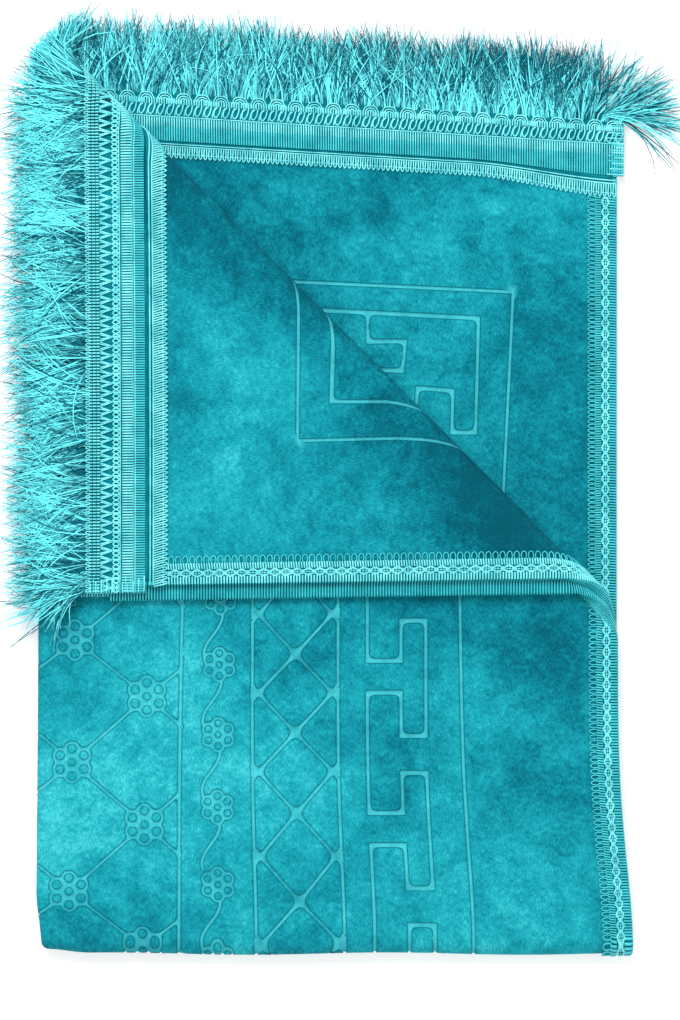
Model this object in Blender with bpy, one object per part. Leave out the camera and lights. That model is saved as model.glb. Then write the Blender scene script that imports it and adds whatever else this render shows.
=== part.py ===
"""A velvet prayer rug, folded in half lengthwise and again crosswise, with one corner of its upper half turned over.

Every piece is first made flat, as a straight run of its own cross-section, and scored where the rug bends.
One fold function then carries each point to where it lies: +X is the rug's right as folded, +Y its fringed
top and +Z up, with the floor at z = 0.
"""

import math
import random

import bmesh
import bpy
from mathutils import Vector

MM = 0.001

# The flat rug, in metres: u runs across it from the lengthwise fold, v along it from the crosswise fold and
# h out of its velvet face.
HALF_WIDTH = 350 * MM
UPPER_LENGTH = 534 * MM
LOWER_LENGTH = 523 * MM
VELVET_HALF = 1.5 * MM
TRIM_THICKNESS = 0.8 * MM
TRIM_GAP = 0.3 * MM
TRIM_INNER = VELVET_HALF + TRIM_GAP
TRIM_OUTER = TRIM_INNER + TRIM_THICKNESS

# The trims.
BINDING_FACE = 17.5 * MM
BINDING_BACK = 13 * MM
BINDING_WALL = 1 * MM
BINDING_ROUND = 0.8 * MM
HEADING_DEPTH = 21 * MM
END_GAP = 0.9 * MM
SKIRT_DEPTH = 33.5 * MM
HEADING_BACK = -0.8 * MM
GIMP_DEPTH = 46 * MM
GIMP_WIDTH = 11.6 * MM
TRIM_OVERHANG = 4 * MM

# The lower end's trim rises on the cloth by these amounts along its length, and droops again at its outer corner.
TRIM_RISE = (6.6 * MM, -2 * MM)
RISE_SPAN = (255 * MM, 345 * MM)
RISE_DEPTHS = (16 * MM, GIMP_DEPTH, 120 * MM)

# The fringe.
LOCKS = 118
LOCK_SHARE = 0.5
LOCK_LENGTH = 44 * MM
CORNER_REACH = 26 * MM
CORNER_TURN = math.radians(78)
LOCK_LEAN = math.radians(6)
LOCK_SIZES = (0.86, 1.06)
LOCK_SEED = 7
# The rings of a lock: its share of the length, and its width and thickness against the root's.
LOCK_STEPS = ((0.3, 1.0, 0.35), (0.72, 0.85, 0.3), (1.0, 0.3, 0.15))

# The stack: the room that one layer has where it holds a trim or a bend, in the open velvet and in the fringe.
LAYER = 5.8 * MM
OPEN_LAYER = 5 * MM
FRINGE_LAYER = 2.7 * MM
THIN_AIR = 0.3 * MM
BEND_RADIUS = LAYER / 2
CROSS_RADIUS = LAYER

# Where the folded rug lies, from the middle of the view.
LEFT_FOLD = -183 * MM
BOTTOM_FOLD = -267.6 * MM
START_X = LEFT_FOLD + BEND_RADIUS + VELVET_HALF
START_Y = BOTTOM_FOLD + CROSS_RADIUS + BEND_RADIUS + VELVET_HALF

# How far the lengthwise fold strays from the middle at the crosswise fold, and how the ends run askew.
FOLD_DRIFT = -9 * MM
DRIFT_REACH = 75 * MM
UPPER_SKEW = 0.017
LOWER_SKEW = -0.063

# The turned corner's crease: its outermost line, and at its two ends the place along it, the radius of the
# doubled strip round it and the length of cloth that the outer layer takes there.
CREASE_OUT = 77.2 * MM
CREASE_START = (-300 * MM, 6.2 * MM, 31 * MM)
CREASE_END = (150 * MM, 8 * MM, 49 * MM)
CREASE_BEYOND = 0.2
INNER_LAG = 12.7 * MM

# Distances, from a bend or an edge, over which the stack settles to its open height.
BEND_FULL = 10 * MM
BEND_SETTLED = 95 * MM
TRIM_SETTLED = 70 * MM
CREASE_SETTLED = 115 * MM
EDGE_CLEAR = 12 * MM
EDGE_FALL = 32 * MM
FLAP_AIR = 0.5 * MM

# Slack in the lying cloth.
WAVE = 0.35 * MM
WAVE_TURNS = (31, 23, 11)
WAVE_START = 1
CORNER_ROUND = 3 * MM
CORNER_SIZE = 28 * MM
FOLD_BOW = 1.6 * MM
FOOT_WAVE = 0.7 * MM
FOOT_TURNS = 38
FOOT_REACH = 60 * MM

# Lines across which a piece may bend, as distances from a fold.
BEND_STEPS = 6
CREASE_STEPS = 6
COLUMNS_FROM_FOLD = tuple(d * MM for d in (18, 45, 80, 120, 165, 210, 250))
COLUMNS_FROM_EDGE = tuple(d * MM for d in (63, 40)) + (BINDING_FACE, BINDING_BACK)
ROWS_FROM_FOLD = tuple(d * MM for d in (22, 45, 80, 125, 170, 215, 260, 305, 350, 395))
ROWS_FROM_END = tuple(d * MM for d in (91, 68)) + (GIMP_DEPTH, GIMP_DEPTH - GIMP_WIDTH, HEADING_DEPTH)

TOUCH = 1e-6
SHARP_ANGLE = math.radians(40)
TEAL = (0.004, 0.20, 0.25, 1)
TRIM_TEAL = (0.03, 0.42, 0.45, 1)


def smooth(value, start, stop):
    share = min(1, max(0, (value - start) / (stop - start)))
    return share * share * (3 - 2 * share)


def end_length(v):
    """The length of the rug's half that v is in, from the crosswise fold."""
    return UPPER_LENGTH if v > 0 else LOWER_LENGTH


def crease_at(along):
    """The crease's radius, and the cloth that its outer layer takes, at a place along it."""
    share = (along - CREASE_START[0]) / (CREASE_END[0] - CREASE_START[0])
    share = min(1 + CREASE_BEYOND, max(-CREASE_BEYOND, share))
    return tuple(a + (b - a) * share for a, b in zip(CREASE_START[1:], CREASE_END[1:]))


def crease_start(radius):
    return CREASE_OUT - radius - BEND_RADIUS - VELVET_HALF


def crease_turn(radius, arc, side):
    """Twice the place of the crease's mirror line for the outer (-1) or inner (1) layer."""
    return 2 * crease_start(radius) + arc - (INNER_LAG if side > 0 else 0)


def fullness(x, y, end):
    """From 0 in open velvet to 1 at a bend or a trim, and how far past an edge a place is, from 0 to 1."""
    width = HALF_WIDTH - math.pi * BEND_RADIUS / 2
    near = max(
        1 - smooth(x, BEND_FULL, BEND_SETTLED),
        smooth(x, width - BINDING_FACE - TRIM_SETTLED, width - BINDING_FACE),
        1 - smooth(y, BEND_FULL, BEND_SETTLED),
        smooth(y, end - GIMP_DEPTH - TRIM_SETTLED, end - GIMP_DEPTH),
    )
    past = max(
        smooth(y, end + EDGE_CLEAR, end + EDGE_FALL),
        smooth(x, width + EDGE_CLEAR, width + EDGE_FALL),
        smooth(-x, BEND_RADIUS + VELVET_HALF, EDGE_FALL),
    )
    return near, past


def room(near, past, wave):
    """The height that one layer takes."""
    open_room = OPEN_LAYER + wave
    held = open_room + (LAYER - open_room) * near
    return held + (FRINGE_LAYER - held) * past


def strip_end(upper, x):
    length, skew = (UPPER_LENGTH, UPPER_SKEW) if upper else (LOWER_LENGTH, LOWER_SKEW)
    return length - math.pi * CROSS_RADIUS / 2 + skew * x


def settle(z, x, y):
    """The height of a point whose layers are evenly spaced, once each layer has only the room that it needs."""
    world_x, world_y = x + START_X, y + START_Y
    across, along = (world_x + world_y) / math.sqrt(2), (world_x - world_y) / math.sqrt(2)
    radius, arc = crease_at(along)
    crease = smooth(across, CREASE_OUT - CREASE_SETTLED, crease_start(radius))
    ripple = math.sin(world_x * WAVE_TURNS[0] + WAVE_START)
    wave = WAVE * ripple * math.cos(world_y * WAVE_TURNS[1] + world_x * WAVE_TURNS[2])

    rooms = []
    for upper in (False, False, True, True):
        near, past = fullness(x, y, strip_end(upper, x))
        rooms.append((room(max(near, crease if upper else 0), past, wave), past))
    flap_gap = 2 * (radius - LAYER)
    for side in (1, -1):
        turn = crease_turn(radius, arc, side) / math.sqrt(2)
        flat_x, flat_y = turn - world_y - START_X, turn - world_x - START_Y
        near, past = fullness(flat_x, flat_y, strip_end(True, flat_x))
        rooms.append((room(max(near, crease), past, wave), past))

    near, past = fullness(x, y, strip_end(False, x))
    level = (TRIM_OUTER - VELVET_HALF) * near * (1 - past) - (LAYER / 2 - VELVET_HALF)
    start = 0.0
    for index, (height, past) in enumerate(rooms):
        if index == 4:
            share = min(1, (z - start) / flap_gap)
            level += (FLAP_AIR + (flap_gap - FLAP_AIR) * crease) * share
            if z < start + flap_gap:
                return level
            start += flap_gap
        if z < start + LAYER or index == len(rooms) - 1:
            return level + within_layer(z - start, height, index == 0)
        level += height if index else height / 2 + LAYER / 2
        start += LAYER
    return level


def within_layer(z, height, lowest):
    """The height inside one layer: the cloth keeps its thickness and the air round it takes up the change."""
    half = min(VELVET_HALF, height / 2 - THIN_AIR)
    offset = z - LAYER / 2
    size = abs(offset)
    if lowest and offset < 0:
        return LAYER / 2 + offset
    middle = LAYER / 2 if lowest else height / 2
    if size <= VELVET_HALF:
        moved = size * half / VELVET_HALF
    else:
        moved = half + (size - VELVET_HALF) * (height / 2 - half) / (LAYER / 2 - VELVET_HALF)
    return middle + math.copysign(moved, offset)


def trim_rise(x, length):
    """How much farther along the lower strip a place lies than its even spacing gives."""
    depth = LOWER_LENGTH - length
    start, full, stop = RISE_DEPTHS
    share = smooth(depth, start, full) * (1 - smooth(depth, full, stop))
    return share * (TRIM_RISE[0] + (TRIM_RISE[1] - TRIM_RISE[0]) * smooth(x, *RISE_SPAN))


def folded(u, v, h):
    """Where a point of the flat rug lies, before the stack settles: x and y from the folds, and an even z."""
    quarter = math.pi * BEND_RADIUS / 2
    drift = FOLD_DRIFT * math.exp(-((v / DRIFT_REACH) ** 2))
    side = 1 if u > 0 else -1
    if abs(u) < quarter:
        angle = u / BEND_RADIUS
        x, z = -(BEND_RADIUS + h) * math.cos(angle), (BEND_RADIUS + h) * math.sin(angle)
    else:
        x, z = abs(u) - quarter - side * drift * abs(u) / HALF_WIDTH, side * (BEND_RADIUS + h)

    quarter = math.pi * CROSS_RADIUS / 2
    if abs(v) < quarter:
        angle = v / CROSS_RADIUS
        y, z = -(CROSS_RADIUS + z) * math.cos(angle), (CROSS_RADIUS + z) * math.sin(angle)
        return x, y, z + 2 * LAYER
    if v < 0:
        length = -v + trim_rise(x, -v)
        y = length - quarter + LOWER_SKEW * x * length / LOWER_LENGTH
        return x, y, 2 * LAYER - CROSS_RADIUS - z
    y = v - quarter + UPPER_SKEW * x * v / UPPER_LENGTH
    return turned(x, y, 2 * LAYER + CROSS_RADIUS + z, side)


def turned(x, y, z, side):
    """Turns the upper strip's corner over its crease."""
    world_x, world_y = x + START_X, y + START_Y
    across, along = (world_x + world_y) / math.sqrt(2), (world_x - world_y) / math.sqrt(2)
    radius, arc = crease_at(along)
    start = crease_start(radius)
    arc -= INNER_LAG if side > 0 else 0
    if across <= start:
        return x, y, z
    axis = 3 * LAYER + radius
    reach = axis - z
    if across < start + arc:
        angle = math.pi * (across - start) / arc
        across, z = start + reach * math.sin(angle), axis - reach * math.cos(angle)
    else:
        across, z = 2 * start + arc - across, axis + reach
    new_x, new_y = (across + along) / math.sqrt(2), (across - along) / math.sqrt(2)
    return new_x - START_X, new_y - START_Y, z


def laid(x, y, z):
    """The settled point in the view's own frame, with the outline's softness."""
    height = settle(z, x, y)
    corner = (1 - smooth(x, -BEND_RADIUS, CORNER_SIZE)) * (1 - smooth(y, -CROSS_RADIUS, CORNER_SIZE))
    left = 1 - smooth(x, 0, HALF_WIDTH)
    bow = FOLD_BOW * math.sin(math.pi * y / UPPER_LENGTH) * left
    foot = FOOT_WAVE * math.sin(x * FOOT_TURNS) * (1 - smooth(y, 0, FOOT_REACH))
    soft = corner * CORNER_ROUND
    return Vector((x + START_X + soft + bow, y + START_Y + soft + foot, height))


def fold_point(point):
    return laid(*folded(*point))


def prism(section, axis, start, stop):
    """A straight run of a closed section, whose points are (place on the other axis, h).

    Axis 0 runs across the rug and axis 1 along it.
    """
    mesh = bmesh.new()
    rings = []
    for end in (start, stop):
        ring = []
        for place, height in section:
            ring.append(mesh.verts.new((end, place, height) if axis == 0 else (place, end, height)))
        rings.append(ring)
    mesh.faces.new(rings[0])
    mesh.faces.new(list(reversed(rings[1])))
    for i in range(len(section)):
        j = (i + 1) % len(section)
        mesh.faces.new((rings[0][j], rings[0][i], rings[1][i], rings[1][j]))
    bmesh.ops.recalc_face_normals(mesh, faces=mesh.faces)
    return mesh


def cut(mesh, place, normal, keep=None):
    """Scores the faces that keep() accepts, by their middles, along an upright plane."""
    faces = [f for f in mesh.faces if keep is None or keep(f.calc_center_median())]
    edges = {e for f in faces for e in f.edges}
    verts = {v for f in faces for v in f.verts}
    bmesh.ops.bisect_plane(
        mesh,
        geom=list(verts) + list(edges) + faces,
        dist=TOUCH,
        plane_co=(place[0], place[1], 0),
        plane_no=(normal[0], normal[1], 0),
    )


def bend_lines(radius):
    reach = math.pi * radius / 2
    return [reach * (2 * i / BEND_STEPS - 1) for i in range(BEND_STEPS + 1)]


def flat_place(world_x, world_y, side):
    """Where a point of the upper strip, in the view's frame, lies on the flat rug."""
    x, y = world_x - START_X, world_y - START_Y
    v = (y + math.pi * CROSS_RADIUS / 2) / (1 + UPPER_SKEW * x / UPPER_LENGTH)
    return side * (x + math.pi * BEND_RADIUS / 2), v


def score(mesh):
    columns = list(COLUMNS_FROM_FOLD) + [HALF_WIDTH - depth for depth in COLUMNS_FROM_EDGE]
    for u in bend_lines(BEND_RADIUS) + [side * place for place in columns for side in (-1, 1)]:
        cut(mesh, (u, 0), (1, 0))
    rows = [side * place for place in ROWS_FROM_FOLD for side in (-1, 1)]
    rows += [UPPER_LENGTH - depth for depth in ROWS_FROM_END] + [depth - LOWER_LENGTH for depth in ROWS_FROM_END]
    for v in bend_lines(CROSS_RADIUS) + rows:
        cut(mesh, (0, v), (0, 1))
    for side in (1, -1):
        for step in range(CREASE_STEPS + 1):
            ends = []
            for place, radius, arc in (CREASE_START, CREASE_END):
                arc -= INNER_LAG if side > 0 else 0
                across_place = crease_start(radius) + arc * step / CREASE_STEPS
                world = (across_place + place) / math.sqrt(2), (across_place - place) / math.sqrt(2)
                ends.append(Vector(flat_place(*world, side)))
            line = ends[1] - ends[0]
            cut(mesh, ends[0], (line.y, -line.x), lambda c, s=side: c.y > 0 and c.x * s > BEND_RADIUS * 2)


def split_cells(mesh):
    """Splits each four-sided cell along the diagonal that follows the crease, the same way in every piece."""
    for face in list(mesh.faces):
        if len(face.verts) != 4 or abs(face.normal.z) < 0.5:
            continue
        side = 1 if face.calc_center_median().x > 0 else -1
        a, b, c, d = face.verts
        first, second = c.co - a.co, d.co - b.co
        ends = (a, c) if side * first.x * first.y < side * second.x * second.y else (b, d)
        bmesh.utils.face_split(face, *ends)


def fold_mesh(mesh):
    mesh.normal_update()
    split_cells(mesh)
    bmesh.ops.triangulate(mesh, faces=mesh.faces)
    for vert in mesh.verts:
        vert.co = fold_point(vert.co)


def add_object(mesh, name, material):
    data = bpy.data.meshes.new(name)
    mesh.to_mesh(data)
    mesh.free()
    data.materials.append(material)
    data.shade_smooth()
    data.set_sharp_from_angle(angle=SHARP_ANGLE)
    piece = bpy.data.objects.new(name, data)
    bpy.context.collection.objects.link(piece)
    return piece


def make_material(name, colour, roughness):
    material = bpy.data.materials.new(name)
    material.use_nodes = True
    shader = material.node_tree.nodes["Principled BSDF"]
    shader.inputs["Base Color"].default_value = colour
    shader.inputs["Roughness"].default_value = roughness
    shader.inputs["Metallic"].default_value = 0
    return material


def velvet_mesh():
    edge = HALF_WIDTH - BINDING_WALL - TRIM_GAP
    section = [(-edge, -VELVET_HALF), (edge, -VELVET_HALF), (edge, VELVET_HALF), (-edge, VELVET_HALF)]
    inset = HEADING_DEPTH + END_GAP
    mesh = prism(section, 1, inset - LOWER_LENGTH, UPPER_LENGTH - inset)
    score(mesh)
    fold_mesh(mesh)
    return mesh


def binding_mesh(side):
    """The braid folded round one side edge, between the end trims."""
    rounded = TRIM_OUTER - BINDING_ROUND
    section = [
        (0, -rounded),
        (BINDING_ROUND, -TRIM_OUTER),
        (BINDING_BACK, -TRIM_OUTER),
        (BINDING_BACK, -TRIM_INNER),
        (BINDING_WALL, -TRIM_INNER),
        (BINDING_WALL, TRIM_INNER),
        (BINDING_FACE, TRIM_INNER),
        (BINDING_FACE, TRIM_OUTER),
        (BINDING_ROUND, TRIM_OUTER),
        (0, rounded),
    ]
    section = [(side * (HALF_WIDTH - depth), height) for depth, height in section]
    inset = GIMP_DEPTH + TRIM_GAP
    mesh = prism(section, 1, inset - LOWER_LENGTH, UPPER_LENGTH - inset)
    score(mesh)
    fold_mesh(mesh)
    return mesh


def end_section(points, half):
    """A section given as (depth in from the rug's end, h), at the upper (1) or lower (-1) end."""
    return [(half * (end_length(half) - depth), height) for depth, height in points]


def gimp_mesh(half):
    """The flat braid that lies on the velvet along one end."""
    inner = GIMP_DEPTH - GIMP_WIDTH
    section = [(inner, TRIM_INNER), (GIMP_DEPTH, TRIM_INNER), (GIMP_DEPTH, TRIM_OUTER), (inner, TRIM_OUTER)]
    edge = HALF_WIDTH
    mesh = prism(end_section(section, half), 0, -edge, edge)
    score(mesh)
    fold_mesh(mesh)
    return mesh


def lock_places():
    """The middles of the locks' roots across the rug."""
    reach = HALF_WIDTH + TRIM_OVERHANG
    pitch = 2 * reach / LOCKS
    return [(-reach + pitch * (i + 0.5), pitch * LOCK_SHARE / 2) for i in range(LOCKS)]


def fringe_mesh(half):
    """The fringe's heading and skirt, with its locks fused into the heading's outer edge."""
    section = [
        (0, HEADING_BACK),
        (HEADING_DEPTH, HEADING_BACK),
        (HEADING_DEPTH, TRIM_INNER),
        (SKIRT_DEPTH, TRIM_INNER),
        (SKIRT_DEPTH, TRIM_OUTER),
        (0, TRIM_OUTER),
    ]
    reach = HALF_WIDTH + TRIM_OVERHANG
    mesh = prism(end_section(section, half), 0, -reach, reach)
    score(mesh)

    def outer(place):
        return abs(abs(place.y) - end_length(half)) < 10 * TOUCH

    for middle, half_root in lock_places():
        for edge in (middle - half_root, middle + half_root):
            cut(mesh, (edge, 0), (1, 0), outer)

    roots = {}
    for face in mesh.faces:
        middle = face.calc_center_median()
        if outer(middle):
            for index, (place, half_root) in enumerate(lock_places()):
                if abs(middle.x - place) < half_root:
                    roots.setdefault(index, []).append(face)

    locks = []
    for index, faces in roots.items():
        joined = faces[0]
        if len(faces) > 1:
            joined = bmesh.ops.dissolve_faces(mesh, faces=faces, use_verts=False)["region"][0]
        locks.append((lock_places()[index][0], joined))
    grow_locks(mesh, locks, half)
    return mesh


def grow_locks(mesh, locks, half):
    """Folds the heading and draws each lock out of its own face."""
    rng = random.Random(LOCK_SEED + half)
    mesh.normal_update()
    split_cells(mesh)
    kept = {face for _, face in locks}
    bmesh.ops.triangulate(mesh, faces=[f for f in mesh.faces if f not in kept])
    paths = [(face, lock_path(place, half, rng)) for place, face in locks]
    for vert in mesh.verts:
        vert.co = fold_point(vert.co)
    for face, path in paths:
        root = face.calc_center_median()
        offsets = [v.co - root for v in face.verts]
        ring = face
        for point, width, thickness in path:
            made = bmesh.ops.extrude_discrete_faces(mesh, faces=[ring])
            ring = made["faces"][0]
            for vert, offset in zip(ring.verts, offsets):
                flat = Vector((offset.x, offset.y, 0)) * width
                vert.co = point + flat + Vector((0, 0, offset.z * thickness))
    bmesh.ops.triangulate(mesh, faces=mesh.faces)


def lock_path(place, half, rng):
    """The rings of one lock: the place of each, and its width and thickness against the root's."""
    root_h = (TRIM_OUTER + HEADING_BACK) / 2
    end = half * end_length(half)
    x, y, z = folded(place, end, root_h)
    ahead = folded(place, end + half * MM, root_h)
    beside = folded(place + math.copysign(MM, place), end, root_h)
    along = Vector((ahead[0] - x, ahead[1] - y, 0)).normalized()
    outward = Vector((beside[0] - x, beside[1] - y, 0)).normalized()
    edge = HALF_WIDTH + TRIM_OVERHANG - abs(place)
    turn = CORNER_TURN * (1 - smooth(edge, 0, CORNER_REACH)) + rng.uniform(-LOCK_LEAN, LOCK_LEAN)
    direction = (along * math.cos(turn) + outward * math.sin(turn)).normalized()
    size = LOCK_LENGTH * rng.uniform(*LOCK_SIZES)
    rings = []
    for share, width, thickness in LOCK_STEPS:
        at = Vector((x, y, 0)) + direction * size * share
        rings.append((laid(at.x, at.y, z), width, thickness))
    return rings


def centre_on_floor(pieces):
    """Moves the whole rug so that the middle of its box stands over the origin."""
    corners = [v.co for piece in pieces for v in piece.data.vertices]
    shift = Vector(
        (
            -(min(c.x for c in corners) + max(c.x for c in corners)) / 2,
            -(min(c.y for c in corners) + max(c.y for c in corners)) / 2,
            -min(c.z for c in corners),
        )
    )
    for piece in pieces:
        for vert in piece.data.vertices:
            vert.co += shift


def main():
    for old in list(bpy.data.objects):
        bpy.data.objects.remove(old, do_unlink=True)
    velvet = make_material("velvet", TEAL, 0.85)
    yarn = make_material("trim_yarn", TRIM_TEAL, 0.45)
    pieces = [
        add_object(velvet_mesh(), "rug_velvet", velvet),
        add_object(binding_mesh(1), "side_binding_1", yarn),
        add_object(binding_mesh(-1), "side_binding_2", yarn),
        add_object(gimp_mesh(1), "end_gimp_a", yarn),
        add_object(gimp_mesh(-1), "end_gimp_b", yarn),
        add_object(fringe_mesh(1), "fringe_a", yarn),
        add_object(fringe_mesh(-1), "fringe_b", yarn),
    ]
    centre_on_floor(pieces)


main()
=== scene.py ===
"""Looks for the folded velvet prayer rug: embossed velvet, corded braids and a fine fringe, laid where the
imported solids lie. Lengths are in metres in the solids' frame; tables marked mm are read in millimetres."""

import math

import bpy
import numpy as np
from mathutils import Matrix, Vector
from mathutils.geometry import delaunay_2d_cdt


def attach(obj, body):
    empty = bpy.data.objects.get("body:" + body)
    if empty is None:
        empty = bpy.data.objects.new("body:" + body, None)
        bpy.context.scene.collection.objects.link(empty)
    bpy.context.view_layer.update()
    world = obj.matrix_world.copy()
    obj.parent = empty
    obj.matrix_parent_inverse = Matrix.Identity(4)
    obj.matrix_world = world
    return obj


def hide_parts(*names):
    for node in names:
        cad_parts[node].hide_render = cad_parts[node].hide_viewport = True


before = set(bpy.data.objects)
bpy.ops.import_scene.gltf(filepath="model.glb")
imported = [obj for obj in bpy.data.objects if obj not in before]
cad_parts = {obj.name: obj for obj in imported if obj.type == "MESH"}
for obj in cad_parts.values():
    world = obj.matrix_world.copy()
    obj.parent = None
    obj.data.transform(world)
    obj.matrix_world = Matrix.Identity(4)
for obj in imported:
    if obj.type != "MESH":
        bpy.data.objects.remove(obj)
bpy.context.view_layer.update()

MM = 0.001

# The flat rug: u runs across it from the lengthwise fold, v along it from the crosswise fold and h out of its
# velvet face. These values, and the fold functions below, are the solids' own.
HALF_WIDTH = 350 * MM
UPPER_LENGTH = 534 * MM
LOWER_LENGTH = 523 * MM
VELVET_HALF = 1.5 * MM
TRIM_THICKNESS = 0.8 * MM
TRIM_GAP = 0.3 * MM
TRIM_INNER = VELVET_HALF + TRIM_GAP
TRIM_OUTER = TRIM_INNER + TRIM_THICKNESS
BINDING_FACE = 17.5 * MM
BINDING_BACK = 13 * MM
BINDING_WALL = 1 * MM
HEADING_DEPTH = 21 * MM
END_GAP = 0.9 * MM
SKIRT_DEPTH = 33.5 * MM
HEADING_BACK = -0.8 * MM
GIMP_DEPTH = 46 * MM
GIMP_WIDTH = 11.6 * MM
TRIM_OVERHANG = 4 * MM
TRIM_RISE = (6.6 * MM, -2 * MM)
RISE_SPAN = (255 * MM, 345 * MM)
RISE_DEPTHS = (16 * MM, GIMP_DEPTH, 120 * MM)

LAYER = 5.8 * MM
OPEN_LAYER = 5 * MM
FRINGE_LAYER = 2.7 * MM
THIN_AIR = 0.3 * MM
BEND_RADIUS = LAYER / 2
CROSS_RADIUS = LAYER
BEND_QUARTER = math.pi * BEND_RADIUS / 2
CROSS_QUARTER = math.pi * CROSS_RADIUS / 2
LEFT_FOLD = -183 * MM
BOTTOM_FOLD = -267.6 * MM
START_X = LEFT_FOLD + BEND_RADIUS + VELVET_HALF
START_Y = BOTTOM_FOLD + CROSS_RADIUS + BEND_RADIUS + VELVET_HALF
FOLD_DRIFT = -9 * MM
DRIFT_REACH = 75 * MM
UPPER_SKEW = 0.017
LOWER_SKEW = -0.063
CREASE_OUT = 77.2 * MM
CREASE_START = (-300 * MM, 6.2 * MM, 31 * MM)
CREASE_END = (150 * MM, 8 * MM, 49 * MM)
CREASE_BEYOND = 0.2
INNER_LAG = 12.7 * MM
BEND_FULL = 10 * MM
BEND_SETTLED = 95 * MM
TRIM_SETTLED = 70 * MM
CREASE_SETTLED = 115 * MM
EDGE_CLEAR = 12 * MM
EDGE_FALL = 32 * MM
FLAP_AIR = 0.5 * MM
LAYERS_BELOW_FLAP = 4
WAVE = 0.35 * MM
WAVE_TURNS = (31, 23, 11)
CORNER_ROUND = 3 * MM
CORNER_SIZE = 28 * MM
FOLD_BOW = 1.6 * MM
FOOT_WAVE = 0.7 * MM
FOOT_TURNS = 38
FOOT_REACH = 60 * MM

# From the photograph's frame, in which the fold is worked out, to the solids' frame.
SHIFT = np.array((-2.24 * MM, -22.58 * MM, 0))
ROOT2 = math.sqrt(2)


def smooth(value, start, stop):
    share = np.clip((value - start) / (stop - start), 0, 1)
    return share * share * (3 - 2 * share)


def diagonal(x, y):
    """How far a place lies across and along the turned corner's crease."""
    world_x, world_y = x + START_X, y + START_Y
    return (world_x + world_y) / ROOT2, (world_x - world_y) / ROOT2


def crease_at(along):
    share = (along - CREASE_START[0]) / (CREASE_END[0] - CREASE_START[0])
    share = np.clip(share, -CREASE_BEYOND, 1 + CREASE_BEYOND)
    return tuple(a + (b - a) * share for a, b in zip(CREASE_START[1:], CREASE_END[1:]))


def crease_start(radius):
    return CREASE_OUT - radius - BEND_RADIUS - VELVET_HALF


def fullness(x, y, end):
    """How full a layer lies, near its folds and trims, and how far each place is past its edges."""
    width = HALF_WIDTH - BEND_QUARTER
    binding, gimp = width - BINDING_FACE, end - GIMP_DEPTH
    near = (
        1 - smooth(x, BEND_FULL, BEND_SETTLED),
        smooth(x, binding - TRIM_SETTLED, binding),
        1 - smooth(y, BEND_FULL, BEND_SETTLED),
        smooth(y, gimp - TRIM_SETTLED, gimp),
    )
    past = (
        smooth(y, end + EDGE_CLEAR, end + EDGE_FALL),
        smooth(x, width + EDGE_CLEAR, width + EDGE_FALL),
        smooth(-x, BEND_RADIUS + VELVET_HALF, EDGE_FALL),
    )
    return np.maximum.reduce(near), np.maximum.reduce(past)


def room(near, past, wave):
    """How much height a layer takes up."""
    open_room = OPEN_LAYER + wave
    held = open_room + (LAYER - open_room) * near
    return held + (FRINGE_LAYER - held) * past


def strip_end(upper, x):
    length, skew = (UPPER_LENGTH, UPPER_SKEW) if upper else (LOWER_LENGTH, LOWER_SKEW)
    return length - CROSS_QUARTER + skew * x


def within_layer(z, height, lowest):
    """Moves a height within an even layer to the layer's own height; velvet that fits keeps its thickness."""
    half = np.minimum(VELVET_HALF, height / 2 - THIN_AIR)
    offset = z - LAYER / 2
    size = abs(offset)
    outer = half + (size - VELVET_HALF) * (height / 2 - half) / (LAYER / 2 - VELVET_HALF)
    moved = np.where(size <= VELVET_HALF, size * half / VELVET_HALF, outer)
    middle = LAYER / 2 if lowest else height / 2
    placed = middle + np.copysign(moved, offset)
    return np.where(offset < 0, LAYER / 2 + offset, placed) if lowest else placed


def settle(z, x, y):
    """The height of a point of the evenly spaced stack, once each layer has only the room that it needs."""
    world_x, world_y = x + START_X, y + START_Y
    across, along = diagonal(x, y)
    radius, arc = crease_at(along)
    crease = smooth(across, CREASE_OUT - CREASE_SETTLED, crease_start(radius))
    first, second, third = WAVE_TURNS
    wave = np.sin(world_x * first + 1) * np.cos(world_y * second + world_x * third) * WAVE
    rooms = []
    for upper in (False, False, True, True):
        near, past = fullness(x, y, strip_end(upper, x))
        rooms.append(room(np.maximum(near, crease) if upper else near, past, wave))
    for lag in (INNER_LAG, 0):
        turn = (2 * crease_start(radius) + arc - lag) / ROOT2
        flat_x, flat_y = turn - world_y - START_X, turn - world_x - START_Y
        near, past = fullness(flat_x, flat_y, strip_end(True, flat_x))
        rooms.append(room(np.maximum(near, crease), past, wave))

    near, past = fullness(x, y, strip_end(False, x))
    level = (TRIM_OUTER - VELVET_HALF) * near * (1 - past) - (LAYER / 2 - VELVET_HALF)
    flap_gap = 2 * (radius - LAYER)
    start = np.zeros_like(z)
    result = np.zeros_like(z)
    done = np.zeros(z.shape, bool)
    for index, height in enumerate(rooms):
        if index == LAYERS_BELOW_FLAP:
            share = np.minimum(1, (z - start) / flap_gap)
            level = level + (FLAP_AIR + (flap_gap - FLAP_AIR) * crease) * share
            between = ~done & (z < start + flap_gap)
            result = np.where(between, level, result)
            done |= between
            start = start + flap_gap
        here = ~done & ((z < start + LAYER) | (index == len(rooms) - 1))
        result = np.where(here, level + within_layer(z - start, height, index == 0), result)
        done |= here
        level = level + (height if index else height / 2 + LAYER / 2)
        start = start + LAYER
    return result


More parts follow.
